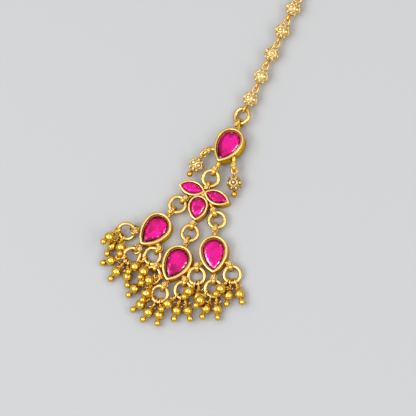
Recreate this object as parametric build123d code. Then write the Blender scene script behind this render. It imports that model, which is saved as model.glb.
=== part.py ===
from build123d import *

import os
from collections import namedtuple
from math import asin, cos, degrees, pi, radians, sin, sqrt

# Maang tikka, lying on a flat surface. Millimetres, +Z up, +Y from the drops towards the hook.
# Four identical pear castings and a three-stone flower hang from a bead chain on jump rings.
# The layout is worked out about the flower, and moved at the end to the bottom centre of its box.

# Pear castings
PEAR_WIDTH = 7.6
PEAR_LENGTH = 10.2
SETTING_HEIGHT = 3.0
BACK_THICKNESS = 0.8
RIM_WIDTH = 0.65
RIM_ROUNDING = 0.22
TIP_ROUNDING = 0.55
RECESS_DEPTH = 0.9
SEAT_INSET = 1.2
TOP_PEAR_LEAN = 10

# Flower casting: two pointed petals and a pear-shaped bud
PETAL_WIDTH = 4.1
PETAL_LENGTH = 7.4
BUD_WIDTH = 5.3
BUD_LENGTH = 6.9
FLOWER_RIM = 0.55
FLOWER_HUB = 1.0
HUB_DROP = 0.2
FLOWER_RECESS = 0.45

# Stones; the foot, the tier between the crown's facets and the table are fractions of the girdle
STONE_GAP = 0.1
BACK_GAP = 0.05
GIRDLE = 0.25
CROWN = 0.65
STONE_FOOT = 0.8
TIER_HEIGHT = 0.6
TIER = 0.86
TABLE = 0.62

# Bails: a wire loop on a neck, with a granule on top
BAIL_RADIUS = 1.05
BAIL_WIRE = 0.8
NECK = 0.95
GRANULE = 1.2
GRANULE_SETBACK = 0.45
GRANULE_LIFT = 0.1
CROWN_BAIL = 3.2
SMALL_BAIL_RADIUS = 0.85
SMALL_BAIL_WIRE = 0.62

# Jump rings
RING_RADIUS = 2.1
RING_WIRE = 1.0
CLUSTER_RING_RADIUS = 1.95
CLUSTER_RING_WIRE = 0.9
SEAM = 4
SEAM_AT = 20
CLUSTER_SEAM_AT = 110
CLUSTER_NEAR = 1.55
CLUSTER_FAR = 1.05

# Ball drops
BALL = 2.7
TAIL_BALL = 1.7
DROP_WIRE = 0.4
DROP_LOOP_RADIUS = 0.8
DROP_REACH = 3.6
TAIL_REACH = 2.3
WRAP = 0.76
HOLE_PLAY = 0.12

# Granulated beads of the chain and of the two side drops
BEAD = 4.0
BEAD_GRANULE = 0.84
GRANULE_BURIED = 0.05
GRANULE_LATITUDE = 50
GRANULES_ROUND = 6
CHAIN_WIRE = 0.5
CHAIN_PITCH = 6.66
CHAIN_BEADS = 5
CHAIN_X = 0.75
CHAIN_START = 31.2
CHAIN_SWAY = 2
EYE_RADIUS = 0.68
EYE_LENGTH = 0.54
LINK_RADIUS = 0.7
FIRST_LINK_RADIUS = 0.95
LAST_EYE_RADIUS = 0.85
SIDE_REACH = 4.2
SIDE_TAIL = 1.6

# Hook
HOOK_WIRE = 0.7
HOOK_EYE_HEIGHT = 1.6
HOOK_EYE_RADIUS = 1.1
HOOK_SHANK = 8.5
HOOK_BEND_RADIUS = 2.0
HOOK_BARB = 4.0

Place = namedtuple("Place", "x y turn lean")
PEARS = {
    "top": Place(x=1.3, y=18.3, turn=-3, lean=TOP_PEAR_LEAN),
    "left": Place(x=-7.0, y=-9.55, turn=-18, lean=0),
    "middle": Place(x=1.75, y=-15.4, turn=-3, lean=0),
    "right": Place(x=9.25, y=-9.45, turn=25, lean=0),
}
PETALS = {
    "petal_left": Place(x=-3.0, y=3.35, turn=96, lean=0),
    "petal_right": Place(x=4.05, y=3.55, turn=-90, lean=0),
}
BUD = Place(x=0.45, y=-0.2, turn=15, lean=0)
HUB_X, HUB_Y = 0.55, 3.2

# Direction over which the top casting leans, from its low side to its high side
LEAN_HEADING = Vector(0.81, -0.59, 0).normalized()

# Where a pear casting's bails leave its wall, and where the side and tip loops are centred
Spot = namedtuple("Spot", "base_x base_y loop_x loop_y")
SPOTS = {
    "outer": Spot(base_x=-2.7, base_y=-3.2, loop_x=-4.4, loop_y=-4.85),
    "tip": Spot(base_x=0, base_y=-5.5, loop_x=0, loop_y=-8.4),
    "inner": Spot(base_x=2.7, base_y=-3.2, loop_x=4.4, loop_y=-4.85),
}

# Upper jump rings: centre, height of the centre, and rise from the lower end to the upper end
Ring = namedtuple("Ring", "x y z rise")
RINGS = {
    "chain": Ring(x=0.6, y=26.2, z=1.75, rise=0.3),
    "flower": Ring(x=0.25, y=7.8, z=1.75, rise=0.5),
    "left": Ring(x=-4.9, y=-1.95, z=1.5, rise=0),
    "middle": Ring(x=1.4, y=-7.65, z=1.5, rise=0),
    "right": Ring(x=6.45, y=-1.7, z=1.5, rise=0),
}

# Cluster rings: casting and spot they hang from, compass heading away from the bail
# (0 points down the tikka, positive towards +X), roll about that heading, and heights
Cluster = namedtuple("Cluster", "pear spot heading roll near far")
CLUSTERS = {
    "left_outer": Cluster("left", "outer", -57, 35, 2.0, 1.5),
    "left_tip": Cluster("left", "tip", -15, 35, 2.0, 1.5),
    "left_inner": Cluster("left", "inner", -29, 0, CLUSTER_NEAR, CLUSTER_FAR),
    "middle_outer": Cluster("middle", "outer", -3, 0, CLUSTER_NEAR, CLUSTER_FAR),
    "middle_tip": Cluster("middle", "tip", -11, 0, CLUSTER_NEAR, CLUSTER_FAR),
    "middle_inner": Cluster("middle", "inner", 12, 0, CLUSTER_NEAR, CLUSTER_FAR),
    "right_outer": Cluster("right", "outer", 18, 0, CLUSTER_NEAR, CLUSTER_FAR),
    "right_tip": Cluster("right", "tip", 20, 0, CLUSTER_NEAR, CLUSTER_FAR),
    "right_inner": Cluster("right", "inner", 37, 0, CLUSTER_NEAR, CLUSTER_FAR),
}

# Drops on each cluster ring: place round the ring from its far end, heading and rise of the pin
Drop = namedtuple("Drop", "place heading rise")
DROPS = {
    "left_outer": [Drop(-24, -17, 29), Drop(16, -8, 3), Drop(39, 26, 29)],
    "left_tip": [Drop(-45, -56, -14), Drop(-16, -16, -7), Drop(10, 25, 1)],
    "left_inner": [Drop(-16, -20, 24), Drop(28, 5, 36)],
    "middle_outer": [Drop(-36, -20, 4), Drop(107, -36, 32), Drop(30, 1, 24)],
    "middle_tip": [Drop(-35, -31, 4), Drop(13, -11, 5), Drop(48, 16, 4)],
    "middle_inner": [Drop(-36, -18, 21), Drop(-6, 9, 5), Drop(23, 40, 5)],
    "right_outer": [Drop(-4, -3, 36), Drop(25, 19, 5)],
    "right_tip": [Drop(-56, -2, 37), Drop(-10, 2, 5), Drop(26, 29, 5)],
    "right_inner": [Drop(-48, -6, 35), Drop(-22, 15, 5), Drop(13, 42, 5)],
}

# Where the flower's bails grow from, for each ring that it holds
Foot = namedtuple("Foot", "ring x y")
FLOWER_BAILS = [
    Foot(ring="flower", x=HUB_X, y=HUB_Y),
    Foot(ring="left", x=-2.4, y=1.7),
    Foot(ring="middle", x=1.0, y=-2.6),
    Foot(ring="right", x=2.9, y=1.9),
]

# Side drops of the top casting: spot of the bail, height of its loop, centre of the bead,
# heading from the bead to the drop's far end, and roll of the eye about it
SideDrop = namedtuple("SideDrop", "spot link_z bead_x bead_y heading roll")
SIDE_DROPS = {
    "left": SideDrop(spot="outer", link_z=2.1, bead_x=-4.85, bead_y=9.6, heading=-10, roll=40),
    "right": SideDrop(spot="inner", link_z=2.45, bead_x=6.55, bead_y=8.95, heading=24, roll=0),
}

UP = Vector(0, 0, 1)


def compass(heading):
    """Unit vector of a heading in the plane of the floor, 0 along -Y and positive towards +X."""
    return Vector(sin(radians(heading)), -cos(radians(heading)), 0)


def frame(origin, x_dir, z_dir):
    """Location at a point with the given X and Z directions."""
    return Plane(origin=origin, x_dir=x_dir, z_dir=z_dir).location


def rod(start, end, diameter):
    """Round rod between two points."""
    run = end - start
    body = Cylinder(diameter / 2, run.length, align=(Align.CENTER, Align.CENTER, Align.MIN))
    return Plane(origin=start, z_dir=run).location * body


def pear_arcs(width, length, inset):
    """Radius of the round end, radius of the side arcs and their offset, set in by inset."""
    round_end = width / 2
    tip = length - round_end
    side = (tip**2 + round_end**2) / (2 * round_end)
    return round_end - inset, side - inset, side - round_end


def pear_face(width, length, inset):
    """Pear outline about the centre of its round end, with the tip towards -Y."""
    r, side, offset = pear_arcs(width, length, inset)
    tip = -sqrt(side**2 - offset**2)
    half = asin(-tip / side) / 2
    bulge_x = side * cos(half) - offset
    bulge_y = -side * sin(half)
    arcs = [
        ThreePointArc((r, 0), (0, r), (-r, 0)),
        ThreePointArc((-r, 0), (-bulge_x, bulge_y), (0, tip)),
        ThreePointArc((0, tip), (bulge_x, bulge_y), (r, 0)),
    ]
    return make_face(Wire(arcs))


def petal_arcs(inset):
    """Radius of a petal's two arcs and the offset of their centres from its middle line."""
    half_width = PETAL_WIDTH / 2
    half_length = PETAL_LENGTH / 2
    radius = (half_length**2 + half_width**2) / (2 * half_width)
    return radius - inset, radius - half_width


def petal_face(inset):
    """Petal outline about its middle, pointed at both ends of Y."""
    radius, offset = petal_arcs(inset)
    tip = sqrt(radius**2 - offset**2)
    side = radius - offset
    arcs = [
        ThreePointArc((0, -tip), (side, 0), (0, tip)),
        ThreePointArc((0, tip), (-side, 0), (0, -tip)),
    ]
    return make_face(Wire(arcs))


def pear_points(width, length, inset):
    """Corners of a cut stone with a pear outline."""
    r, side, offset = pear_arcs(width, length, inset)
    tip = sqrt(side**2 - offset**2)
    sweep = asin(tip / side)
    crown = [(r * cos(a), r * sin(a)) for a in (pi * k / 5 for k in range(6))]
    flank = [(side * cos(a) - offset, -side * sin(a)) for a in (sweep * k / 3 for k in (1, 2))]
    left = [(-x, y) for x, y in flank]
    right = [(x, y) for x, y in reversed(flank)]
    return crown + left + [(0, -tip)] + right


def petal_points(inset):
    """Corners of a cut stone with a petal outline."""
    radius, offset = petal_arcs(inset)
    sweep = asin(sqrt(radius**2 - offset**2) / radius)
    angles = [sweep * k / 5 for k in (-5, -3, -1, 1, 3)]
    right = [(radius * cos(a) - offset, radius * sin(a)) for a in angles]
    left = [(-x, -y) for x, y in right]
    return right + left


def faceted(corners, levels):
    """Solid through scaled copies of one polygon, each level (height, scale) joined by flat facets."""
    middle_x = sum(x for x, y in corners) / len(corners)
    middle_y = sum(y for x, y in corners) / len(corners)
    rings = [
        [Vector(middle_x + (x - middle_x) * s, middle_y + (y - middle_y) * s, z) for x, y in corners]
        for z, s in levels
    ]
    faces = [Face(Wire.make_polygon(rings[0])), Face(Wire.make_polygon(rings[-1]))]
    for low, high in zip(rings, rings[1:]):
        for k in range(len(corners)):
            n = (k + 1) % len(corners)
            faces.append(Face(Wire.make_polygon([low[k], low[n], high[n], high[k]])))
    return Solid(Shell(faces))


def cut_stone(corners, girdle_top):
    """Stone with a flat back, a thin girdle, two tiers of crown facets and a table."""
    back = BACK_THICKNESS + BACK_GAP
    levels = [
        (back, STONE_FOOT),
        (girdle_top - GIRDLE, 1),
        (girdle_top, 1),
        (girdle_top + CROWN * TIER_HEIGHT, TIER),
        (girdle_top + CROWN, TABLE),
    ]
    return faceted(corners, levels)


def placed(place, height=0):
    """Location of a casting: turned, leaned so that it rests on its low edge, and set down."""
    lift = PEAR_WIDTH / 2 * sin(radians(place.lean))
    lean = Location((0, 0, 0), UP.cross(LEAN_HEADING), -place.lean) if place.lean else Location()
    return Pos(place.x, place.y, lift + height) * lean * Rot(0, 0, place.turn)


def pear_setting():
    """Solid casting of a pear setting, with a rounded rim, and the pocket cut from it."""
    outline = pear_face(PEAR_WIDTH, PEAR_LENGTH, 0)
    tip = outline.vertices().sort_by(Axis.Y)[0]
    body = extrude(fillet(tip, TIP_ROUNDING), SETTING_HEIGHT)
    mouth = Pos(0, 0, SETTING_HEIGHT) * pear_face(PEAR_WIDTH, PEAR_LENGTH, RIM_WIDTH)
    ledge = SETTING_HEIGHT - RECESS_DEPTH
    seat = pear_face(PEAR_WIDTH, PEAR_LENGTH, SEAT_INSET)
    recess = loft([Pos(0, 0, ledge) * seat, mouth], ruled=True)
    well = Pos(0, 0, BACK_THICKNESS) * extrude(seat, ledge - BACK_THICKNESS)
    rim = body.edges().group_by(Axis.Z)[-1]
    return fillet(rim, RIM_ROUNDING), recess + well


def bail(loop_at, outward, normal, base, radius=BAIL_RADIUS, wire=BAIL_WIRE):
    """Loop round a ring's wire, in the plane of outward and normal, on a neck from base."""
    loop = frame(loop_at, outward, outward.cross(normal)) * Torus(radius, wire / 2)
    neck = rod(loop_at + outward * radius, base, NECK * wire / BAIL_WIRE)
    top = loop_at + outward * GRANULE_SETBACK + normal * (radius + GRANULE_LIFT)
    return loop + neck + Pos(top) * Sphere(GRANULE / 2 * wire / BAIL_WIRE)


def rolled(along, roll):
    """Upward normal to a direction, rolled about it."""
    level = (UP - along * UP.dot(along)).normalized()
    across = level.cross(along)
    return level * cos(radians(roll)) + across * sin(radians(roll))


def ring_towards(ring, point):
    """Unit vector from an upper ring's centre to its wire, on the side of a point."""
    aim = Vector(point.X - ring.x, point.Y - ring.y, 0).normalized()
    slope = ring.rise / (2 * RING_RADIUS)
    return Vector(aim.X, aim.Y, slope * aim.Y).normalized()


def ring_normal(ring):
    """Normal of an upper ring's plane."""
    return Vector(0, -ring.rise / (2 * RING_RADIUS), 1).normalized()


def ring_bail(name, base):
    """Bail that holds the upper ring of that name and grows from base."""
    ring = RINGS[name]
    outward = ring_towards(ring, base)
    loop_at = Vector(ring.x, ring.y, ring.z) + outward * RING_RADIUS
    return bail(loop_at, outward, ring_normal(ring), base)


def jump_ring(location, radius, wire, seam_at):
    """Round wire ring with a narrow seam, in the location's XY plane."""
    section = Plane.XZ * (Pos(radius, 0) * Circle(wire / 2))
    body = revolve(section, Axis.Z, 360 - SEAM)
    return location * Rot(0, 0, seam_at) * body


Hang = namedtuple("Hang", "loop_at centre away across normal")


def cluster_hang(row):
    """Where a cluster's ring hangs: loop centre, ring centre and the ring's X, Y and Z directions."""
    spot = SPOTS[row.spot]
    loop_at = (placed(PEARS[row.pear]) * Pos(spot.loop_x, spot.loop_y, row.near)).position
    fall = (row.near - row.far) / (2 * CLUSTER_RING_RADIUS)
    away = (compass(row.heading) * sqrt(1 - fall**2) - UP * fall).normalized()
    normal = rolled(away, row.roll)
    return Hang(loop_at, loop_at + away * CLUSTER_RING_RADIUS, away, normal.cross(away), normal)


def foot_of(place, spot):
    """Point at half height on a pear casting's wall where the bail of a spot grows from."""
    return (placed(place) * Pos(spot.base_x, spot.base_y, SETTING_HEIGHT / 2)).position


def cluster_bail(row):
    """Bail at one spot of a pear casting, holding its cluster ring."""
    hang = cluster_hang(row)
    return bail(hang.loop_at, hang.away * -1, hang.normal, foot_of(PEARS[row.pear], SPOTS[row.spot]))


def cluster_drops(row, drops):
    """Loose solids of one cluster: for each drop a headpin with its loop, and a drilled ball."""
    hang = cluster_hang(row)
    solids = []
    for drop in drops:
        turn = radians(drop.place)
        point = hang.centre + (hang.away * cos(turn) + hang.across * sin(turn)) * CLUSTER_RING_RADIUS
        tangent = hang.across * cos(turn) - hang.away * sin(turn)
        rise = radians(drop.rise)
        along = compass(drop.heading) * cos(rise) + UP * sin(rise)
        side = (tangent - along * tangent.dot(along)).normalized()
        spot = frame(point, side, along)
        solids += [spot * headpin(), spot * drilled_ball()]
    return solids


def headpin():
    """Wire loop, wrapped neck, pin and tail ball, along +Z from the loop's centre."""
    loop = Rot(0, 90, 0) * Torus(DROP_LOOP_RADIUS, DROP_WIRE / 2)
    neck = DROP_REACH - BALL / 2 - HOLE_PLAY
    wrap = rod(Vector(0, 0, DROP_LOOP_RADIUS + DROP_WIRE / 2), Vector(0, 0, neck), WRAP)
    pin = rod(Vector(0, 0, DROP_LOOP_RADIUS), Vector(0, 0, DROP_REACH + TAIL_REACH), DROP_WIRE)
    tail = Pos(0, 0, DROP_REACH + TAIL_REACH) * Sphere(TAIL_BALL / 2)
    return loop + wrap + pin + tail


def drilled_ball():
    """Plain ball threaded on a headpin."""
    bore = Cylinder(DROP_WIRE / 2 + HOLE_PLAY, BALL * 2)
    return Pos(0, 0, DROP_REACH) * (Sphere(BALL / 2) - bore)


def granulated_bead():
    """Drilled bead covered in raised granules, about its centre, with its hole along Y."""
    reach = (BEAD - BEAD_GRANULE) / 2
    body = Sphere(reach + GRANULE_BURIED)
    for latitude in (-GRANULE_LATITUDE, 0, GRANULE_LATITUDE):
        for k in range(GRANULES_ROUND):
            turn = 360 / GRANULES_ROUND * (k + (0.5 if latitude == 0 else 0))
            spot = Rot(0, turn, 0) * Rot(0, 0, latitude) * Pos(reach, 0, 0)
            body += spot * Sphere(BEAD_GRANULE / 2)
    bore = Rot(90, 0, 0) * Cylinder(CHAIN_WIRE / 2 + HOLE_PLAY, BEAD * 2)
    return body - bore


def eye(radius, straight):
    """Flat wire eye, longer than wide, centred at the origin and lying in XY along Y."""
    path = Rot(0, 0, 90) * SlotCenterToCenter(straight, 2 * radius).wire()
    section = Plane(origin=path @ 0, z_dir=path % 0) * Circle(CHAIN_WIRE / 2)
    return sweep(section, path=path)


def chain_pin(eye_radius, link_radius):
    """Eye pin through a bead: flat eye towards +Y and upright link towards -Y."""
    near = BEAD / 2
    upper = Pos(0, near + eye_radius + EYE_LENGTH / 2, 0) * eye(eye_radius, EYE_LENGTH)
    lower = Pos(0, -near - link_radius, 0) * Rot(0, 90, 0) * Torus(link_radius, CHAIN_WIRE / 2)
    return upper + lower + rod(Vector(0, -near, 0), Vector(0, near, 0), CHAIN_WIRE)


def side_pin():
    """Headpin of a side drop: eye at the bail, wrapped neck, pin and tail ball, along +Y."""
    near = SIDE_REACH - 2 * EYE_RADIUS - EYE_LENGTH / 2
    upper = Pos(0, near + EYE_RADIUS + EYE_LENGTH / 4, 0) * eye(EYE_RADIUS, EYE_LENGTH / 2)
    bottom = -(BEAD + SIDE_TAIL) / 2
    wrap = rod(Vector(0, BEAD / 2 + HOLE_PLAY, 0), Vector(0, near, 0), WRAP)
    tail = Pos(0, bottom - HOLE_PLAY, 0) * Sphere(SIDE_TAIL / 2)
    return upper + wrap + rod(Vector(0, bottom, 0), Vector(0, near, 0), CHAIN_WIRE) + tail


Lie = namedtuple("Lie", "bead link along normal")


def side_lie(row):
    """How a side drop lies: bead, link point, direction of the pin and normal of its eye."""
    bead = Vector(row.bead_x, row.bead_y, BEAD / 2)
    climb = (row.link_z - bead.Z) / SIDE_REACH
    along = (UP * climb - compass(row.heading) * sqrt(1 - climb**2)).normalized()
    return Lie(bead, bead + along * SIDE_REACH, along, rolled(along, -row.roll))


def hook():
    """Plain wire hook: an upright eye on the chain and a crook that comes down to the floor."""
    eye_at = HOOK_EYE_RADIUS
    turn = HOOK_BEND_RADIUS
    shank_end = eye_at + HOOK_SHANK
    path = Wire([
        Line((0, eye_at), (0, shank_end)),
        ThreePointArc((0, shank_end), (-turn, shank_end + turn), (-2 * turn, shank_end)),
        Line((-2 * turn, shank_end), (-2 * turn, shank_end - HOOK_BARB)),
    ])
    section = Plane(origin=path @ 0, z_dir=path % 0) * Circle(HOOK_WIRE / 2)
    wire = sweep(section, path=path)
    loop = Rot(0, 90, 0) * Torus(HOOK_EYE_RADIUS, HOOK_WIRE / 2)
    end = Pos(-2 * turn, shank_end - HOOK_BARB, 0) * Sphere(HOOK_WIRE / 2)
    return wire + loop + end


def pear_castings(nodes):
    """The four pear castings and their stones."""
    for name, place in PEARS.items():
        here = placed(place)
        body, pocket = pear_setting()
        body = here * body
        crown = (here * Pos(0, CROWN_BAIL, SETTING_HEIGHT / 2)).position
        if name == "top":
            body += ring_bail("chain", crown) + ring_bail("flower", foot_of(place, SPOTS["tip"]))
            for row in SIDE_DROPS.values():
                body += side_bail(row)
        else:
            body += ring_bail(name, crown)
            for row in CLUSTERS.values():
                if row.pear == name:
                    body += cluster_bail(row)
        nodes["setting_" + name] = body - here * pocket
        corners = pear_points(PEAR_WIDTH, PEAR_LENGTH, SEAT_INSET + STONE_GAP)
        stone = cut_stone(corners, SETTING_HEIGHT - RECESS_DEPTH)
        nodes["stone_" + name] = here * stone


def side_bail(row):
    """Small bail of the top casting that a side drop's eye goes through."""
    lie = side_lie(row)
    foot = foot_of(PEARS["top"], SPOTS[row.spot])
    return bail(lie.link, lie.along, lie.normal, foot, SMALL_BAIL_RADIUS, SMALL_BAIL_WIRE)


def flower_casting(nodes):
    """The flower: two petals and a bud round a hub, with four bails, and its three stones."""
    hub = Pos(HUB_X, HUB_Y, 0) * extrude(Circle(FLOWER_HUB), SETTING_HEIGHT - HUB_DROP)
    bud_size = (BUD_WIDTH, BUD_LENGTH)
    body = hub + placed(BUD) * rounded(pear_face(*bud_size, 0))
    pocket = placed(BUD, BACK_THICKNESS) * extrude(pear_face(*bud_size, FLOWER_RIM), SETTING_HEIGHT)
    girdle_top = SETTING_HEIGHT - FLOWER_RECESS
    corners = pear_points(*bud_size, FLOWER_RIM + STONE_GAP)
    nodes["stone_bud"] = placed(BUD) * cut_stone(corners, girdle_top)
    for name, place in PETALS.items():
        body += placed(place) * rounded(petal_face(0))
        pocket += placed(place, BACK_THICKNESS) * extrude(petal_face(FLOWER_RIM), SETTING_HEIGHT)
        stone = cut_stone(petal_points(FLOWER_RIM + STONE_GAP), girdle_top)
        nodes["stone_" + name] = placed(place) * stone
    for foot in FLOWER_BAILS:
        body += ring_bail(foot.ring, Vector(foot.x, foot.y, SETTING_HEIGHT / 2))
    nodes["setting_flower"] = body - pocket


def rounded(face):
    """Casting body from its outline, with the rim's outer edge rounded."""
    body = extrude(face, SETTING_HEIGHT)
    return fillet(body.edges().group_by(Axis.Z)[-1], RIM_ROUNDING)


def jump_rings(nodes):
    """The five upper rings and the nine cluster rings."""
    for name, ring in RINGS.items():
        at = frame(Vector(ring.x, ring.y, ring.z), Vector(1, 0, 0), ring_normal(ring))
        nodes["ring_" + name] = jump_ring(at, RING_RADIUS, RING_WIRE, SEAM_AT)
    for name, row in CLUSTERS.items():
        hang = cluster_hang(row)
        at = frame(hang.centre, hang.away, hang.normal)
        nodes["ring_" + name] = jump_ring(at, CLUSTER_RING_RADIUS, CLUSTER_RING_WIRE, CLUSTER_SEAM_AT)


def chain(nodes):
    """Granulated beads on eye pins, each linked to the next, and the hook."""
    for k in range(CHAIN_BEADS):
        sway = CHAIN_SWAY if k % 2 else -CHAIN_SWAY
        here = Pos(CHAIN_X, CHAIN_START + k * CHAIN_PITCH, BEAD / 2) * Rot(0, 0, sway)
        eye_radius = LAST_EYE_RADIUS if k == CHAIN_BEADS - 1 else EYE_RADIUS
        link_radius = FIRST_LINK_RADIUS if k == 0 else LINK_RADIUS
        nodes[f"chain_bead_{k + 1}"] = here * granulated_bead()
        nodes[f"chain_pin_{k + 1}"] = here * chain_pin(eye_radius, link_radius)
    end_y = CHAIN_START + (CHAIN_BEADS - 1) * CHAIN_PITCH + BEAD / 2
    eye_y = end_y + 2 * LAST_EYE_RADIUS + EYE_LENGTH
    hook_reach = HOOK_EYE_RADIUS + HOOK_SHANK + HOOK_BEND_RADIUS
    fall = degrees(asin((HOOK_EYE_HEIGHT - HOOK_WIRE / 2) / hook_reach))
    nodes["hook"] = Pos(CHAIN_X, eye_y, HOOK_EYE_HEIGHT) * Rot(-fall, 0, 0) * hook()


def side_drops(nodes):
    """The two drops beside the top casting, a granulated bead on a headpin each."""
    for name, row in SIDE_DROPS.items():
        lie = side_lie(row)
        here = frame(lie.bead, lie.along.cross(lie.normal), lie.normal)
        nodes["side_bead_" + name] = here * granulated_bead()
        nodes["side_pin_" + name] = here * side_pin()


def build():
    """Every node, in the layout's own frame."""
    nodes = {}
    pear_castings(nodes)
    flower_casting(nodes)
    jump_rings(nodes)
    chain(nodes)
    side_drops(nodes)
    for name, row in CLUSTERS.items():
        nodes["drops_" + name] = Compound(children=cluster_drops(row, DROPS[name]))
    return nodes


def write(nodes):
    """Moves the origin to the bottom centre of the whole and writes one file for each node."""
    os.makedirs("parts", exist_ok=True)
    boxes = [shape.bounding_box() for shape in nodes.values()]
    mid_x = (min(b.min.X for b in boxes) + max(b.max.X for b in boxes)) / 2
    mid_y = (min(b.min.Y for b in boxes) + max(b.max.Y for b in boxes)) / 2
    bottom = min(b.min.Z for b in boxes)
    for name, shape in nodes.items():
        export_step(Pos(-mid_x, -mid_y, -bottom) * shape, f"parts/{name}.step")


write(build())
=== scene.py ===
import bmesh
import bpy
import numpy as np
from mathutils import Matrix, Vector


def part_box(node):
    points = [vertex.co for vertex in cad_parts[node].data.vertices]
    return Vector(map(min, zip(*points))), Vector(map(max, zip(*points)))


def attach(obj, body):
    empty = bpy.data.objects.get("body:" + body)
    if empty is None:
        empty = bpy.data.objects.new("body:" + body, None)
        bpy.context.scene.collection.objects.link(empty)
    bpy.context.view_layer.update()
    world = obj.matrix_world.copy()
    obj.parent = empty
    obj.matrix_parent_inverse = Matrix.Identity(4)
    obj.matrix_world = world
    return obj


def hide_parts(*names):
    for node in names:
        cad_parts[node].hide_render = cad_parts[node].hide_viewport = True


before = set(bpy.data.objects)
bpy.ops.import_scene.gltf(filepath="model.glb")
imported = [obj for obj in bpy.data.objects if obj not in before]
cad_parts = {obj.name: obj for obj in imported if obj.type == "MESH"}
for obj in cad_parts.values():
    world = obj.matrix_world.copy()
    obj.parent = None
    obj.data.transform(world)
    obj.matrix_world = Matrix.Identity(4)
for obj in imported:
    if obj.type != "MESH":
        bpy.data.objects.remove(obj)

# A maang tikka dressed over its solids. Lengths are in millimetres and repeat the solids' values,
# some of them a little fuller. Every mesh is made in metres at its place. +Y runs from the drops to
# the hook.

MM = 0.001
TAU = 2 * np.pi
UP = np.array([0.0, 0.0, 1.0])

# Pear castings
PEAR_WIDTH, PEAR_LENGTH, SETTING_HEIGHT = 7.6, 10.2, 3.0
BACK_THICKNESS, RIM_WIDTH, RECESS_DEPTH, TOP_PEAR_LEAN = 0.8, 0.65, 0.65, 10
SEAT_PLAY, PEAR_EASING, PEAR_STEPS = 0.05, 14, 312

# Beading beside the big stones, how much paler its crests are painted as highlights, and the rows of the
# wall's profile that it lifts
BEADING, BEADING_HEIGHT, BEADING_HIGHLIGHT = 64, 0.22, 0.7
BEADED_ROWS = ((-5, 1.0), (-4, 0.8))

# Flower casting, and the rows of the wall's profile that its narrower cups leave out
PETAL_WIDTH, PETAL_LENGTH = 4.1, 7.4
BUD_WIDTH, BUD_LENGTH = 5.3, 6.9
FLOWER_RIM, FLOWER_HUB, HUB_DROP, FLOWER_RECESS = 0.55, 1.0, 0.2, 0.45
FLOWER_SEAT_PLAY, BUD_EASING, PETAL_EASING, FLOWER_STEPS = 0.02, 8, 5, 200
LEDGE_ROWS = [18, 19, 20, 21, 22]

# Stones
STONE_WIDTH, STONE_LENGTH = 5.5, 8.2
STONE_GAP, GIRDLE, CROWN, STONE_CORNERS = 0.1, 0.25, 0.65, 18

# Foil behind each stone: its tone, and how much painted shade darkens it towards the tip; beyond
# that the same painting makes it a little paler. Of the two constants below, the first is how far
# from the tip the shade begins, and the second how far it takes.
FOILS_AND_PAINTED_SHADE = {
    "top": (0.07, 0.36),
    "left": (-0.12, 0.3),
    "middle": (-0.13, 0.14),
    "right": (0.07, 0.08),
    "bud": (-0.11, 0),
    "petal_left": (0.08, 0),
    "petal_right": (-0.1, 0),
}
PAINTED_TIP_SHADE_START, PAINTED_TIP_SHADE_FADE = 3.4, 1.6

# Painted highlights: directions that the facets painted pale face, how nearly, how sharply the
# painting ends, and how far from the tip it is whole
GLEAMS = ((-0.22, -0.262, 0.94), (0.521, -0.088, 0.847))
GLEAM_REACH, GLEAM_EDGE, GLEAM_TIP = 0.985, 120, 1.3

# Bails, with their seeds as tilt, number and radius
BAIL_RADIUS, BAIL_WIRE, BAIL_BAND, NECK = 1.05, 0.8, 1.4, 1.4
GRANULE, GRANULE_SETBACK, GRANULE_LIFT, CROWN_BAIL = 1.5, 0.6, 0.12, 3.2
COLLAR_WIRE, SEEDS = 0.26, ((0, 1, 0.34), (46, 6, 0.3))
SMALL_BAIL_RADIUS, SMALL_BAIL_WIRE = 0.85, 0.74

# Bails turned about their necks, to follow rolled rings
BAIL_TWIST, TWIST_THINNING, TWIST_SPREAD = -38, 0.6, 0.2

# Jump rings, with the seam in degrees and how much its ends are nipped
RING_RADIUS, RING_WIRE, RING_STEPS = 2.1, 1.1, 84
CLUSTER_RING_RADIUS, CLUSTER_RING_WIRE, CLUSTER_RING_PULL = 2.15, 1.04, 0.4
SEAM, SEAM_NIP = 1.1, 0.96
CLUSTER_NEAR, CLUSTER_FAR = 1.55, 1.05

# Ball drops, with the fan and swing of their loops in degrees
BALL, TAIL_BALL, DROP_WIRE, DROP_LOOP_RADIUS = 2.7, 1.7, 0.5, 0.8
DROP_REACH, TAIL_REACH, WRAP, WRAP_WIRE, CUT_ENDS = 3.6, 2.3, 0.76, 0.36, 4
LOOP_FAN, LOOP_SWING = 20, 24

# Beads, with their rosettes as latitude, ring radius, ring wire and granule radius
BEAD, BEAD_GRANULE, BEAD_FILL = 4.0, 0.84, 0.14
ROSETTES_ROUND = 6
ROSETTES = ((-50, 0.6, 0.28, 0.42), (0, 0.84, 0.36, 0.52), (50, 0.6, 0.28, 0.42))

# Chain, side drops and hook
CHAIN_WIRE, CHAIN_PITCH, CHAIN_BEADS = 0.5, 6.66, 5
CHAIN_X, CHAIN_START, CHAIN_SWAY = 0.75, 31.2, 2
BEAD_TURNS = (-11, -15, 20, -11, -8)
EYE_WIRE, EYE_RADIUS, EYE_LENGTH = 0.58, 0.68, 0.54
LINK_RADIUS, FIRST_LINK_RADIUS, LAST_EYE_RADIUS = 0.7, 0.95, 0.85
SIDE_REACH, SIDE_TAIL, SIDE_WRAP, SIDE_NECK = 4.2, 1.6, 0.26, 0.24
HOOK_WIRE, HOOK_EYE_HEIGHT, HOOK_EYE_RADIUS, HOOK_SHANK = 0.7, 1.6, 1.1, 8.5
HOOK_BEND_RADIUS, HOOK_BARB = 2.0, 4.0

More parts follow.
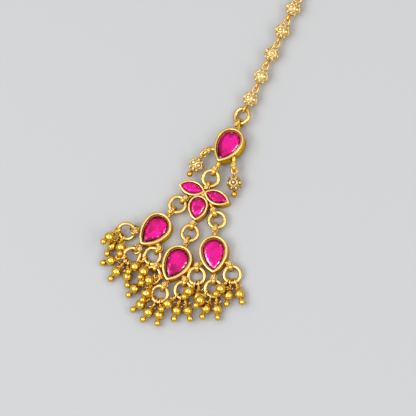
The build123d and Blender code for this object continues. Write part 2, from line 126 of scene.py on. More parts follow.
# Painted shade: the relief that a sheltered point loses, so that its colour darkens in corners and
# between parts where shade falls, on most pieces and on each bead, and how far off the metal that
# shelters it may be
SHELTER_DEPTH, SHELTER_REACH = 0.6, 0.6
CHAIN_PAINTED_SHADE = (0.3, 0.2, 0.3, 0.35, 0.35)
SIDE_PAINTED_SHADE = {"left": 0.5, "right": 1.15}

# Golds: tones of the hollows, the flanks, the faces and the rubbed edges, where the hollows also
# take painted shade and the rubbed edges painted highlights, then roughness, grain and painted flank shade
GOLDS = {
    "antique_gold_casting": (((98, 70, 0), (212, 147, 20), (243, 194, 60), (244, 217, 144)),
                             0.24, 0.5, 0.35),
    "gold_wire": (((122, 83, 0), (216, 150, 22), (248, 198, 68), (247, 217, 142)), 0.22, 0.2, 0.3),
    "gold_jump_ring": (((122, 83, 0), (220, 155, 26), (248, 203, 80), (247, 218, 144)),
                       0.22, 0.15, 0.35),
    "gold_ball": (((108, 74, 0), (226, 160, 14), (250, 204, 54), (245, 213, 124)), 0.2, 0.15, 0.55),
    "granulated_gold": (((140, 88, 6), (242, 180, 72), (255, 224, 142), (255, 242, 188)),
                        0.34, 0.2, 0.35),
}
GOLD_STOPS = (0.0, 0.3, 0.55, 0.95)

# Castings: x, y, turn, lean
PEARS = {
    "top": (1.3, 18.3, -3, TOP_PEAR_LEAN),
    "left": (-7.0, -9.55, -18, 0),
    "middle": (1.75, -15.4, -3, 0),
    "right": (9.25, -9.45, 25, 0),
}
PETALS = {"petal_left": (-3.0, 3.35, 96, 0), "petal_right": (4.05, 3.55, -90, 0)}
BUD = (0.45, -0.2, 15, 0)
HUB = (0.55, 3.2)
LEAN_HEADING = np.array([0.81, -0.59, 0.0])

# Bail spots on a pear casting: foot on the wall, loop at the ring
SPOTS = {
    "outer": ((-2.7, -3.2), (-4.4, -4.85)),
    "tip": ((0.0, -5.5), (0.0, -8.4)),
    "inner": ((2.7, -3.2), (4.4, -4.85)),
}
FLOWER_BAILS = {"flower": HUB, "left": (-2.4, 1.7), "middle": (1.0, -2.6), "right": (2.9, 1.9)}

# Upper rings: x, y, z, rise along Y, roll in degrees
RINGS = {
    "chain": (0.6, 26.2, 1.75, 0.3, 22),
    "flower": (0.25, 7.8, 1.75, 0.5, 0),
    "left": (-4.9, -1.95, 1.5, 0, 0),
    "middle": (1.4, -7.65, 1.5, 0, 0),
    "right": (6.45, -1.7, 1.5, 0, 0),
}

# Cluster rings: casting, spot, heading, roll, near height, far height
CLUSTERS = {
    "left_outer": ("left", "outer", -57, 35, 2.0, 1.5),
    "left_tip": ("left", "tip", -15, 35, 2.0, 1.5),
    "left_inner": ("left", "inner", -29, 0, CLUSTER_NEAR, CLUSTER_FAR),
    "middle_outer": ("middle", "outer", -3, 0, CLUSTER_NEAR, CLUSTER_FAR),
    "middle_tip": ("middle", "tip", -11, 0, CLUSTER_NEAR, CLUSTER_FAR),
    "middle_inner": ("middle", "inner", 12, 0, CLUSTER_NEAR, CLUSTER_FAR),
    "right_outer": ("right", "outer", 18, 0, CLUSTER_NEAR, CLUSTER_FAR),
    "right_tip": ("right", "tip", 20, 0, CLUSTER_NEAR, CLUSTER_FAR),
    "right_inner": ("right", "inner", 37, 0, CLUSTER_NEAR, CLUSTER_FAR),
}

# Drops on each cluster ring: place round the ring, heading, rise
DROPS = {
    "left_outer": [(-24, -17, 29), (16, -8, 3), (39, 26, 29)],
    "left_tip": [(-45, -56, -14), (-16, -16, -7), (10, 25, 1)],
    "left_inner": [(-16, -20, 24), (28, 5, 36)],
    "middle_outer": [(-36, -20, 4), (107, -36, 32), (30, 1, 24)],
    "middle_tip": [(-35, -31, 4), (13, -11, 5), (48, 16, 4)],
    "middle_inner": [(-36, -18, 21), (-6, 9, 5), (23, 40, 5)],
    "right_outer": [(-4, -3, 36), (25, 19, 5)],
    "right_tip": [(-56, -2, 37), (-10, 2, 5), (26, 29, 5)],
    "right_inner": [(-48, -6, 35), (-22, 15, 5), (13, 42, 5)],
}

# Side drops of the top casting: spot, loop height, bead x, bead y, heading, roll
SIDE_DROPS = {
    "left": ("outer", 2.1, -4.85, 9.6, -10, 40),
    "right": ("inner", 2.45, 6.55, 8.95, 24, 0),
}


# ---------------------------------------------------------------- places

def unit(v):
    """The same direction, one long."""
    v = np.asarray(v, float)
    return v / np.linalg.norm(v, axis=-1, keepdims=True)


class Seat:
    """A place in the layout: an origin and three unit directions, as rows."""

    def __init__(self, origin, axes):
        self.origin = np.asarray(origin, float)
        self.axes = np.asarray(axes, float)

    def carry(self, points):
        """Own coordinates to the layout's: origin + x X + y Y + z Z."""
        return self.origin + np.asarray(points, float) @ self.axes


def facing(origin, x_dir, z_dir):
    """Seat with the given X and Z directions."""
    z = unit(z_dir)
    x = unit(x_dir)
    return Seat(origin, [x, np.cross(z, x), z])


def spin(degrees, axis):
    """Rotation by an angle about an axis, as the rows that X, Y and Z go to."""
    return np.array(Matrix.Rotation(np.radians(degrees), 3, Vector(axis))).T


def compass(heading):
    """Direction in the floor's plane, 0 along -Y and positive towards +X."""
    return np.array([np.sin(np.radians(heading)), -np.cos(np.radians(heading)), 0.0])


def casting_seat(place):
    """Seat of a casting: turned, then leaned over the lean heading so that its low edge stays down."""
    x, y, turn, lean = place
    lift = PEAR_WIDTH / 2 * np.sin(np.radians(lean))
    return Seat((x, y, lift), spin(turn, UP) @ spin(-lean, np.cross(UP, LEAN_HEADING)))


def rolled(along, roll):
    """Upward normal to a direction, turned about it by roll."""
    level = unit(UP - along * UP.dot(along))
    return level * np.cos(np.radians(roll)) + np.cross(level, along) * np.sin(np.radians(roll))


def ring_normal(ring):
    """Normal of an upper ring: level across, tilted by its rise, then rolled so that its +X side rises."""
    roll = np.radians(ring[4])
    return unit([0, -ring[3] / (2 * RING_RADIUS), 1]) * np.cos(roll) - [np.sin(roll), 0, 0]


def ring_towards(ring, point):
    """Direction in an upper ring's plane, towards a point."""
    aim = unit(np.array(point[:2]) - ring[:2])
    normal = ring_normal(ring)
    return unit([*aim, -aim @ normal[:2] / normal[2]])


def cluster_hang(row):
    """Ring centre, the direction away from its bail and the ring's normal, for a cluster row."""
    pear, spot, heading, roll, near, far = row
    fall = (near - far) / (2 * CLUSTER_RING_RADIUS)
    away = unit(compass(heading) * np.sqrt(1 - fall**2) - UP * fall)
    loop = casting_seat(PEARS[pear]).carry([*SPOTS[spot][1], near])
    return loop + away * (CLUSTER_RING_RADIUS - CLUSTER_RING_PULL), away, rolled(away, roll)


def side_lie(row):
    """Bead centre, pin direction and eye normal of a side drop."""
    link_height, x, y, heading, roll = row[1:]
    bead = np.array([x, y, BEAD / 2])
    climb = (link_height - bead[2]) / SIDE_REACH
    along = unit(UP * climb - compass(heading) * np.sqrt(1 - climb**2))
    return bead, along, rolled(along, -roll)


low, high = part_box("chain_bead_1")
SHIFT = np.array((low + high) / 2) / MM - [CHAIN_X, CHAIN_START, BEAD / 2]


# ---------------------------------------------------------------- surfaces

def read(items, name, width=1, kind=np.float32):
    """One property of a mesh's items, as an array."""
    values = np.zeros(len(items) * width, kind)
    items.foreach_get(name, values)
    return values.reshape(-1, width) if width > 1 else values


def mark(mesh, name, domain, values):
    """Keeps a number for each point or face, which a finish reads."""
    mesh.attributes.new(name, "FLOAT", domain).data.foreach_set("value", values.astype(np.float32))


# Painted shade: how sheltered a point is sets how much its colour is darkened
def sheltered(mesh):
    """How much of the piece's own metal stands close over each point, from 0 to 1: the sum over its
    other points of area x rise / distance cubed, faded out over the reach, where rise is the height
    above the first point's tangent plane."""
    span, least_rise, softening, at_once = 1.6 * SHELTER_REACH, 0.02, 0.01, 100
    points = read(mesh.vertices, "co", 3) / MM
    points -= points.mean(0)
    normals = read(mesh.vertex_normals, "vector", 3)
    corner = read(mesh.loops, "vertex_index", kind=np.int32)
    sides = np.diff([*read(mesh.polygons, "loop_start", kind=np.int32), len(corner)])
    share = np.repeat(read(mesh.polygons, "area") / sides, sides)
    area = np.bincount(corner, share, len(points)).astype(np.float32) / MM**2
    total = np.zeros(len(points))
    order = np.lexsort(np.floor(points / (2 * SHELTER_REACH)).T)
    for part in np.array_split(order, 1 + len(points) // at_once):
        low, high = points[part].min(0) - span, points[part].max(0) + span
        near = np.flatnonzero(((points > low) & (points < high)).all(1))
        ahead = points[near] - points[part, None]
        rise = np.einsum("ijk,ik->ij", ahead, normals[part]) - least_rise
        gap = np.einsum("ijk,ijk->ij", ahead, ahead) + softening
        shade = rise.clip(0) * area[near] * np.exp(-gap / SHELTER_REACH**2) / (gap * np.sqrt(gap))
        total[part] = shade.sum(1)
    return (total / np.pi).clip(0, 1)


class Skin:
    """Gathers grid surfaces, all closed, and turns them into one mesh.
    Relief is kept for each point: 0 in a hollow, 0.5 on plain metal, 1 on a worn edge; pieces also
    raise it to paint highlights and lower it to paint shade."""

    def __init__(self):
        self.points, self.relief, self.faces, self.count = [], [], [], 0

    def add(self, points, relief, faces):
        """Adds points with their relief, and faces that number the points from the first added."""
        self.points.append(points.reshape(-1, 3))
        self.relief.append(np.broadcast_to(relief, points.shape[:-1]).reshape(-1))
        self.faces += faces
        self.count += len(self.points[-1])

    def grid(self, points, relief=0.5, ring=False, ends=None):
        """Rows of closed loops. The last row joins the first when ring is true; otherwise each end
        is shut by a fan to a pole, which is the end row's mean or one of the given ends."""
        rows, cols = points.shape[:2]
        at = self.count + np.arange(rows * cols).reshape(rows, cols)
        first, second = (at, np.roll(at, -1, 0)) if ring else (at[:-1], at[1:])
        quads = np.stack([first, np.roll(first, -1, 1), np.roll(second, -1, 1), second], -1)
        self.add(points, relief, quads.reshape(-1, 4).tolist())
        if not ring:
            values = np.broadcast_to(relief, (rows, cols))
            poles = ends or (points[0].mean(0), points[-1].mean(0))
            for row, pole, value in ((at[0], poles[0], values[0]), (at[-1], poles[1], values[-1])):
                tip = np.full(cols, self.count)
                fan = np.stack([row, np.roll(row, -1), tip], -1).tolist()
                self.add(np.asarray(pole, float)[None], value.mean(), fan)

    def piece(self, name, finish, slot, smooth, *nodes, painted_shade=SHELTER_DEPTH):
        """Makes the object, with its faces turned outwards, in place of CAD nodes. Sheltered points
        lose up to the given share of their relief as painted shade, so that dark gathers in the corners."""
        mesh = bpy.data.meshes.new(name)
        mesh.from_pydata((np.concatenate(self.points) + SHIFT) * MM, [], self.faces)
        shape = bmesh.new()
        shape.from_mesh(mesh)
        bmesh.ops.recalc_face_normals(shape, faces=shape.faces)
        shape.to_mesh(mesh)
        shape.free()
        # Painted shade: sheltered points lose relief and so turn darker
        mark(mesh, "relief", "POINT", np.concatenate(self.relief) - painted_shade * sheltered(mesh))
        mesh.polygons.foreach_set("use_smooth", np.full(len(mesh.polygons), smooth))
        mesh.materials.append(finish)
        thing = bpy.data.objects.new(name, mesh)
        bpy.context.scene.collection.objects.link(thing)
        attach(thing, "root")
        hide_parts(*nodes)
        return thing


def circle(count, phase=0.0):
    """Angles round a full turn."""
    return (np.arange(count) + phase) / count * TAU


def arc(radius, a, height=0.0):
    """Points at angles about Z: (r cos a, r sin a, z)."""
    return np.stack([radius * np.cos(a), radius * np.sin(a), height + 0 * a], -1)


def lathe(skin, seat, profile, sides=20, relief=0.5):
    """Surface of revolution about the seat's Z: (r cos a, r sin a, z) for a profile of (r, z)
    rows whose first and last lie on the axis."""
    profile = np.asarray(profile, float)
    radius, height = profile[1:-1, :1], profile[1:-1, 1:]
    ends = [seat.carry([0, 0, z]) for z in profile[[0, -1], 1]]
    value = np.asarray(relief, float)
    rows = seat.carry(arc(radius, circle(sides), height))
    skin.grid(rows, value[1:-1, None] if value.ndim else value, ends=ends)


def ball_profile(radius, at=0.0, rows=12, squash=1.0):
    """Half circle from pole to pole: (r sin t, at - r cos t)."""
    t = np.linspace(0, np.pi, rows + 1)
    return np.stack([radius * np.sin(t), at - radius * squash * np.cos(t)], -1)


def tube(skin, path, radius, reference, sides=10, ring=False, relief=0.5, band=1.0):
    """Round profile carried along a path: each point of the profile is path + r (b N cos a + B sin a),
    where B is square to the path and the reference direction, N is square to both, and b widens
    the wire to a band."""
    path = np.asarray(path, float)
    if ring:
        run = unit(np.roll(path, -1, 0) - np.roll(path, 1, 0))
    else:
        run = unit(np.gradient(path, axis=0))
    across = unit(np.cross(run, np.broadcast_to(reference, path.shape)))
    outward = np.cross(across, run) * band
    a = circle(sides)
    radius = np.broadcast_to(radius, len(path))[:, None, None]
    turn = outward[:, None] * np.cos(a)[:, None] + across[:, None] * np.sin(a)[:, None]
    skin.grid(path[:, None] + radius * turn, relief, ring=ring)


def hoop(skin, seat, radius, wire, around=36, sides=10, relief=0.5):
    """Closed wire circle in the seat's XY plane: (r cos a, r sin a, 0)."""
    path = seat.carry(arc(radius, circle(around)))
    tube(skin, path, wire / 2, seat.axes[2], sides=sides, ring=True, relief=relief)


def coil(skin, seat, radius, wire, start, end, turns):
    """Close helix about the seat's Z: (r cos a, r sin a, z) with z rising evenly with a."""
    a = np.linspace(0, TAU * turns, int(16 * turns) + 1)
    path = arc(radius, a, np.linspace(start, end, len(a)))
    tube(skin, seat.carry(path), wire / 2, arc(1, a) @ seat.axes, sides=7, relief=0.85)


# ---------------------------------------------------------------- outlines

def pear_outline(width, length, inset, count):
    """Pear about the centre of its round end, tip towards -Y: a half circle and two side arcs,
    all set in by the same amount. Points are spread evenly over each arc."""
    round_end = width / 2
    tip = length - round_end
    side = (tip**2 + round_end**2) / (2 * round_end)
    offset = side - round_end
    r, s = round_end - inset, side - inset
    half = count // 2
    flank = np.arcsin(np.sqrt(s**2 - offset**2) / s) * np.arange(count // 4 + 1) / (count // 4)
    top = np.pi * np.arange(1, half) / half
    right = np.stack([s * np.cos(flank) - offset, -s * np.sin(flank)], -1)
    crown = np.stack([r * np.cos(top), r * np.sin(top)], -1)
    left = right * [-1, 1]
    return np.concatenate([right[::-1], crown, left[:-1]])


def petal_outline(width, length, inset, count):
    """Petal about its middle: two arcs that meet in points at both ends of Y."""
    half_width, half_length = width / 2, length / 2
    radius = (half_length**2 + half_width**2) / (2 * half_width)
    offset = radius - half_width
    s = radius - inset
    sweep = np.arcsin(np.sqrt(s**2 - offset**2) / s)
    a = sweep * (2 * np.arange(count // 2) / (count // 2) - 1)
    right = np.stack([s * np.cos(a) - offset, s * np.sin(a)], -1)
    return np.concatenate([right, -right])


def eased(outline, passes):
    """Outline with its corners rounded, by averaging each point with its neighbours."""
    for _ in range(passes):
        outline = (np.roll(outline, 1, 0) + 2 * outline + np.roll(outline, -1, 0)) / 4
    return outline


def collet_rows(ledge, height):
    """Profile of a stone cup's wall from the back to the floor under the stone: bulged wall, darker
    towards its foot, rim with two rubbed edges that are also painted pale as highlight lines, recess,
    ledge and seat. Rows of share, height and relief, where share is 0 at the wall, 1 at the rim's
    inner edge and 2 at the stone."""
    return np.array([
        # Wall: darker towards its foot
        (1.0, 0.0, 0.3), (0.2, 0.0, 0.25), (0.05, 0.06, 0.3), (0.0, 0.2, 0.4),
        (-0.04, height * 0.25, 0.56), (-0.04, height * 0.5, 0.64), (-0.04, height - 0.82, 0.76),
        (0.02, height - 0.72, 0.7), (0.08, height - 0.66, 0.1), (0.02, height - 0.6, 0.7),
        (-0.02, height - 0.5, 0.78), (0.0, height - 0.3, 0.76),
        # Rim: its two edges painted pale as highlight lines, darker between them
        (0.03, height - 0.2, 0.8), (0.1, height - 0.08, 1.1), (0.32, height - 0.02, 1.05),
        (0.5, height, 0.72), (0.8, height + 0.02, 1.0), (0.98, height - 0.06, 1.0),
        (1.08, height - 0.2, 0.45), (1.15, ledge + 0.1, 0.45), (1.4, ledge, 0.62), (1.6, ledge, 0.65),
        (1.8, ledge + 0.02, 0.6), (1.93, ledge, 0.5),
        (2.0, ledge - 0.12, 0.05), (2.03, BACK_THICKNESS, 0.0), (2.6, BACK_THICKNESS, 0.0),
    ])


def collet(skin, seat, outline, size, rim, stone, rows, easing, beading=0, count=PEAR_STEPS):
    """Stone cup: point (u, v) is the outline at u, set in by the rim's width times share(v), then
    mixed from the rim's inner edge towards the stone's own outline, at height(v). Fine beading
    beside the stone raises the ledge by |sin| of u, and its crests are painted paler as highlights."""
    rings, shade = [], []
    u = np.arange(count) / count
    edge = outline(*stone, count)
    for share, height, value in rows:
        line = outline(*size, min(share, 1) * rim, count)
        line = eased(line + (edge - line) * max(share - 1, 0), easing)
        rings.append(np.column_stack([line, np.full(count, height)]))
        shade.append(np.full(count, value))
    rings, shade = np.array(rings), np.array(shade)
    if beading:
        bump = np.abs(np.sin(u * np.pi * beading))
        for row, lift in BEADED_ROWS:
            rings[row, :, 2] += BEADING_HEIGHT * lift * bump
            # Painted highlight: each bead's crest is paler
            shade[row] += BEADING_HIGHLIGHT * lift * bump**2
    skin.grid(seat.carry(rings), shade)


# ---------------------------------------------------------------- pieces of metal

def bail(skin, loop_at, outward, normal, base, radius=BAIL_RADIUS, wire=BAIL_WIRE, twist=0):
    """Wire band round a ring, a neck that flares into the casting, and a cluster of seeds on a
    collar. A twisted band is turned about the neck, and is thinner and wider to leave the ring
    free."""
    scale = wire / BAIL_WIRE
    across = np.cross(normal, outward)
    turned = np.radians(twist)
    slant = abs(np.sin(turned))
    radius = radius + TWIST_SPREAD * slant

    loop = facing(loop_at, outward, normal * np.sin(turned) - across * np.cos(turned))
    a = circle(32)
    # Painted highlight: the band is paler on its upper half
    crest = 0.5 + 0.3 * np.sin(a)[:, None] + 0.12 * np.cos(2 * circle(12))
    tube(skin, loop.carry(arc(radius, a)), wire / 2 * (1 - TWIST_THINNING * slant), loop.axes[2],
         sides=12, ring=True, relief=crest, band=BAIL_BAND)

    start = loop_at + outward * radius * 0.8
    s = np.linspace(0, 1, 10)
    width = NECK / 2 * (1 - 0.12 * np.sin(np.pi * s) + 0.25 * s**4)
    tube(skin, start + np.outer(s, base - start), width, normal, sides=14, relief=0.6)

    top = loop_at + outward * GRANULE_SETBACK * scale + normal * (radius + GRANULE_LIFT)
    half = GRANULE / 2
    mound = ball_profile(half * 0.86, squash=0.94)
    # Painted shade and highlight: the granule is darker at its foot and paler on top
    lathe(skin, facing(top, outward, normal), mound, sides=18, relief=np.linspace(0.3, 1.0, 13))
    collar = facing(top - normal * 0.45 * half, outward, normal)
    hoop(skin, collar, half, COLLAR_WIRE, around=24, sides=6, relief=1.1)
    # Painted highlights: the collar and the seeds are pale, the seeds palest at their outer ends
    seed_painted_highlight = np.linspace(0.7, 2.0, 7)
    for tilt, number, size in SEEDS:
        for k in range(number):
            swing = spin(tilt, (0, 1, 0)) @ spin(60 * k + 30, UP)
            out = swing[2] @ [outward, across, normal]
            seed = facing(top + out * half * 0.74, np.cross(out, outward + 0.1 * across), out)
            lathe(skin, seed, ball_profile(size, rows=6), sides=8, relief=seed_painted_highlight)


def ring_bail(skin, name, base):
    """Bail round an upper ring, growing from base."""
    ring = np.array(RINGS[name])
    outward = ring_towards(ring, base)
    bail(skin, ring[:3] + outward * RING_RADIUS, outward, ring_normal(ring), base)


def foot_of(place, spot):
    """Point at half height on a casting's wall where a spot's bail begins."""
    return casting_seat(place).carry([*SPOTS[spot][0], SETTING_HEIGHT / 2])


def pear_casting(name, finish):
    """Collet, beaded ledge and bails of one pear."""
    place = PEARS[name]
    seat = casting_seat(place)
    skin = Skin()
    rows = collet_rows(SETTING_HEIGHT - RECESS_DEPTH, SETTING_HEIGHT)
    hole = (STONE_WIDTH, STONE_LENGTH, -SEAT_PLAY)
    collet(skin, seat, pear_outline, (PEAR_WIDTH, PEAR_LENGTH), RIM_WIDTH, hole, rows, PEAR_EASING,
           beading=BEADING)
    crown = seat.carry([0, CROWN_BAIL, SETTING_HEIGHT / 2])
    if name == "top":
        ring_bail(skin, "chain", crown)
        ring_bail(skin, "flower", foot_of(place, "tip"))
        for row in SIDE_DROPS.values():
            bead, along, normal = side_lie(row)
            bail(skin, bead + along * SIDE_REACH, along, normal, foot_of(place, row[0]),
                 SMALL_BAIL_RADIUS, SMALL_BAIL_WIRE)
    else:
        ring_bail(skin, name, crown)
        for row in [row for row in CLUSTERS.values() if row[0] == name]:
            centre, away, normal = cluster_hang(row)
            bail(skin, centre - away * CLUSTER_RING_RADIUS, -away, normal, foot_of(place, row[1]),
                 twist=BAIL_TWIST if row[3] else 0)
    skin.piece("pear_casting_" + name, finish, "cast_gold", True, "setting_" + name)


def flower_casting(finish):
    """Two petals and a bud round a low hub, and the four bails."""
    skin = Skin()
    rows = collet_rows(SETTING_HEIGHT - FLOWER_RECESS, SETTING_HEIGHT)
    rows = np.delete(rows, LEDGE_ROWS, 0)
    cups = [(BUD, pear_outline, (BUD_WIDTH, BUD_LENGTH), BUD_EASING)]
    for place in PETALS.values():
        cups.append((place, petal_outline, (PETAL_WIDTH, PETAL_LENGTH), PETAL_EASING))
    for place, outline, size, easing in cups:
        hole = (*size, FLOWER_RIM + STONE_GAP - FLOWER_SEAT_PLAY)
        collet(skin, casting_seat(place), outline, size, FLOWER_RIM, hole, rows, easing,
               count=FLOWER_STEPS)
    top = SETTING_HEIGHT - HUB_DROP
    hub = [(0, 0.3), (FLOWER_HUB, 0.3), (FLOWER_HUB, top - 0.3), (FLOWER_HUB * 0.75, top - 0.05),
           (0, top)]
    lathe(skin, Seat((*HUB, 0), np.eye(3)), hub, relief=0.55)
    for ring, foot in FLOWER_BAILS.items():
        ring_bail(skin, ring, np.array([*foot, SETTING_HEIGHT / 2]))
    skin.piece("flower_casting", finish, "cast_gold", True, "setting_flower")


def facets(steps, n):
    """Faces of a stone whose levels have n corners each: the back, then level by level either one
    four-sided facet a corner or, where just one of the two levels lies half a step round, two
    triangles, and last the table. steps says which levels do."""
    k = np.arange(n)
    j = (k + 1) % n
    faces = [list(range(n))[::-1]]
    for low, (first, second) in enumerate(zip(steps[:-1], steps[1:])):
        a, b = low * n, (low + 1) * n
        if first == second:
            groups = [(a + k, a + j, b + j, b + k)]
        elif second:
            groups = [(a + k, a + j, b + k), (a + j, b + j, b + k)]
        else:
            groups = [(a + k, b + j, b + k), (a + k, a + j, b + j)]
        for group in groups:
            faces += np.stack(group, -1).tolist()
    return faces + [list(range((len(steps) - 1) * n, len(steps) * n))]


def cut_stone(name, seat, outline, size, girdle_top, finish, foil):
    """Cut stone with a broad, faintly domed table inside star, bezel and girdle facets. Level by
    level the outline is set in by a share of its half width and lifted, and on some levels the
    corners lie half a step round. Each point keeps its depth of colour as relief, and each facet
    how nearly it faces a gleam, for painted highlights, and the backing's tone with painted shade
    that darkens it towards the tip."""
    back, top = BACK_THICKNESS + 0.05, girdle_top + CROWN
    levels = [  # share set in, height, half steps round, depth of colour
        (0.2, back, 0, 0.0), (0.0, girdle_top - GIRDLE, 0, 0.0), (0.0, girdle_top, 0, 0.1),
        (0.05, girdle_top + CROWN * 0.4, 1, 0.35), (0.14, girdle_top + CROWN * 0.68, 0, 0.65),
        (0.28, girdle_top + CROWN * 0.9, 1, 0.9), (0.5, top - 0.02, 1, 1.0), (0.75, top, 1, 1.0),
    ]
    shares, heights, steps, depths = zip(*levels)
    n = STONE_CORNERS
    width, length, inset = size
    line = outline(width, length, inset, 4 * n)
    extent = np.ptp(line[:, 0])
    points = []
    for share, height, step in zip(shares, heights, steps):
        ring = outline(width, length, inset + share * extent / 2, 4 * n)[2 * step:: 4]
        points.append(np.column_stack([ring, np.full(n, height)]))
    placed = seat.carry(np.concatenate(points))
    faces = facets(steps, n)
    skin = Skin()
    skin.add(placed, np.repeat(depths, n), faces)
    mesh = skin.piece("cut_" + name, finish, "ruby_glass", False, name).data
    table = len(faces) - 1 - 2 * n
    mesh.polygons.foreach_set("use_smooth", np.arange(len(faces)) >= table)

    centre = seat.carry([*line.mean(0), top])[:2]
    across = (placed[:, :2] - centre) / extent + [centre.sum(), 0.5]
    corner = read(mesh.loops, "vertex_index", kind=np.int32)
    mesh.uv_layers.new(name="table").data.foreach_set("uv", across[corner].ravel())

    tip = line[:, 1].min()
    middles = read(mesh.polygons, "center", 3) / MM - SHIFT
    along = (middles - seat.origin) @ seat.axes[1] - tip
    # Painted highlights: facets that nearly face a gleam direction are painted pale
    gleam = (read(mesh.polygons, "normal", 3) @ unit(GLEAMS).T).max(1)
    spread = 0.7 + 0.3 * np.sin(4.7 * np.arange(len(faces)) + centre.sum())
    flash = ((gleam - GLEAM_REACH) * GLEAM_EDGE).clip(0, 1) * (along / GLEAM_TIP).clip(0, 1)
    mark(mesh, "flash", "FACE", flash * spread)
    # Painted shade: the backing is darkened towards the tip, and a little paled beyond
    tone, tip_shade = foil
    mark(mesh, "foil", "FACE", tone - tip_shade * ((PAINTED_TIP_SHADE_START - along) / PAINTED_TIP_SHADE_FADE).clip(-0.3, 1))


def jump_ring(name, seat, radius, wire, finish, node):
    """Round wire bent to a ring, (r cos a, r sin a, 0): it opens at the seat's X by a narrow seam,
    which the bail there hides, and its ends are nearly flat."""
    skin = Skin()
    gap = np.radians(SEAM)
    a = np.linspace(gap / 2, TAU - gap / 2, RING_STEPS)
    width = wire / 2 * (1 + 0.015 * np.sin(5 * a) + 0.01 * np.sin(11 * a + 1))
    width[[0, -1]] *= SEAM_NIP
    sides = circle(16)
    # Painted highlight: paler along the top and bottom of the wire
    relief = 0.52 + 0.3 * np.abs(np.cos(sides)) ** 2 + 0 * a[:, None]
    tube(skin, seat.carry(arc(radius, a)), width, seat.axes[2], sides=16, relief=relief)
    skin.piece(name, finish, "ring_gold", True, node)


def drop(skin, seat, k):
    """Headpin and ball along the seat's Z: three wire loops fanned about it, a wrapped neck whose
    cut ends stand out over the ball like a little crown, a cap, a drilled ball, a short neck and a
    tail ball. k sets how the loops and the cut ends are turned."""
    for side in (-1, 0, 1):
        lean = spin(LOOP_SWING * np.sin(1.7 * k) + LOOP_FAN * side, UP) @ seat.axes
        loop = Seat(seat.carry([0.2 * side, 0, 0.05 * side]), [lean[2], lean[1], -lean[0]])
        hoop(skin, loop, DROP_LOOP_RADIUS + 0.04 * side, DROP_WIRE, around=26, sides=8, relief=0.9)
    neck = DROP_REACH - BALL / 2
    coil(skin, seat, WRAP / 2, WRAP_WIRE, DROP_LOOP_RADIUS + 0.15, neck - 0.15, 3.25)
    lathe(skin, seat, [(0, 0.75), (0.24, 0.8), (0.24, neck + 0.1), (0, neck + 0.2)], sides=10)
    s = np.linspace(0, 1, 7)
    for j in range(CUT_ENDS):
        turn = k * 2.4 + j * TAU / CUT_ENDS
        reach, rise = 1.1 + 0.2 * np.sin(3 * k + j), 0.5 * np.sin(2 * k + 3 * j)
        stray = arc(0.3 + (reach - 0.3) * s, turn + 0.9 * s, neck - 0.3 - rise * s**2)
        tube(skin, seat.carry(stray), 0.26 - 0.08 * s, seat.axes[2], sides=6, relief=0.8)
    cap = [(0, neck - 0.16), (0.34, neck - 0.14), (0.44, neck - 0.02), (0.62, neck + 0.12),
           (0.5, neck + 0.18), (0, neck + 0.16)]
    lathe(skin, seat, cap, sides=16, relief=0.6)
    lathe(skin, seat, ball_profile(BALL / 2, DROP_REACH, 20), sides=32, relief=0.62)
    tail = ball_profile(TAIL_BALL / 2, DROP_REACH + TAIL_REACH, 14)[2:]
    foot = DROP_REACH + BALL / 2
    lip = [(0, foot - 0.15), (0.34, foot - 0.1), (0.36, foot + 0.02), (0.27, foot + 0.1)]
    lathe(skin, seat, np.concatenate([lip, tail]), sides=20, relief=0.55)


def drops(name, finish):
    """Every drop of one cluster ring."""
    centre, away, normal = cluster_hang(CLUSTERS[name])
    across = np.cross(normal, away)
    skin = Skin()
    for k, (place, heading, rise) in enumerate(DROPS[name]):
        turn, lift = np.radians(place), np.radians(rise)
        at = centre + (away * np.cos(turn) + across * np.sin(turn)) * CLUSTER_RING_RADIUS
        tangent = across * np.cos(turn) - away * np.sin(turn)
        along = compass(heading) * np.cos(lift) + UP * np.sin(lift)
        drop(skin, facing(at, tangent - along * tangent.dot(along), along), k + len(name) + place)
    skin.piece("ball_drops_" + name, finish, "ball_gold", True, "drops_" + name)


def rosette_bead(name, seat, finish, node, painted_shade):
    """Drilled bead, hole along Y, on a round body covered in rosettes: a granule in a wire ring,
    large round the middle and smaller towards the holes."""
    skin = Skin()
    reach = (BEAD - BEAD_GRANULE) / 2 + BEAD_FILL
    body = Seat(seat.origin, [seat.axes[2], seat.axes[0], seat.axes[1]])
    lathe(skin, body, ball_profile(reach, rows=16), sides=28, relief=0.65)
    for side in (-1, 1):
        lip = facing(seat.carry([0, side * (reach - 0.02), 0]), seat.axes[0], seat.axes[1] * side)
        hoop(skin, lip, 0.5, 0.34, around=20, sides=6, relief=0.5)
    for latitude, ring, wire, r in ROSETTES:
        granule = [(0, -0.1), (r, 0.02), (r * 0.92, r * 0.4), (r * 0.7, r * 0.7), (r * 0.38, r * 0.88),
                   (0, r * 0.95)]
        for k in range(ROSETTES_ROUND):
            turn = 360 / ROSETTES_ROUND * (k + (0.5 if latitude == 0 else 0))
            axes = spin(latitude, UP) @ spin(turn, (0, 1, 0)) @ seat.axes
            out = axes[0]
            spot = facing(seat.origin + out * (BEAD / 2 + 0.1 - r * 0.95), axes[1], out)
            lathe(skin, spot, granule, sides=12, relief=[0.3, 0.5, 0.7, 0.9, 1.1, 1.1])
            rim = facing(seat.origin + out * (np.sqrt(reach**2 - ring**2) + wire * 0.3), axes[1], out)
            hoop(skin, rim, ring, wire, around=18, sides=6, relief=0.8)
    skin.piece(name, finish, "bead_gold", True, node, painted_shade=painted_shade)


def oval(radius, straight, count=40):
    """Wire eye longer than wide: two half circles joined by straight runs along Y, centred."""
    a = circle(count, 0.5)
    return arc(radius, a) + np.outer(straight / 2 * np.sign(np.sin(a)), [0, 1, 0])


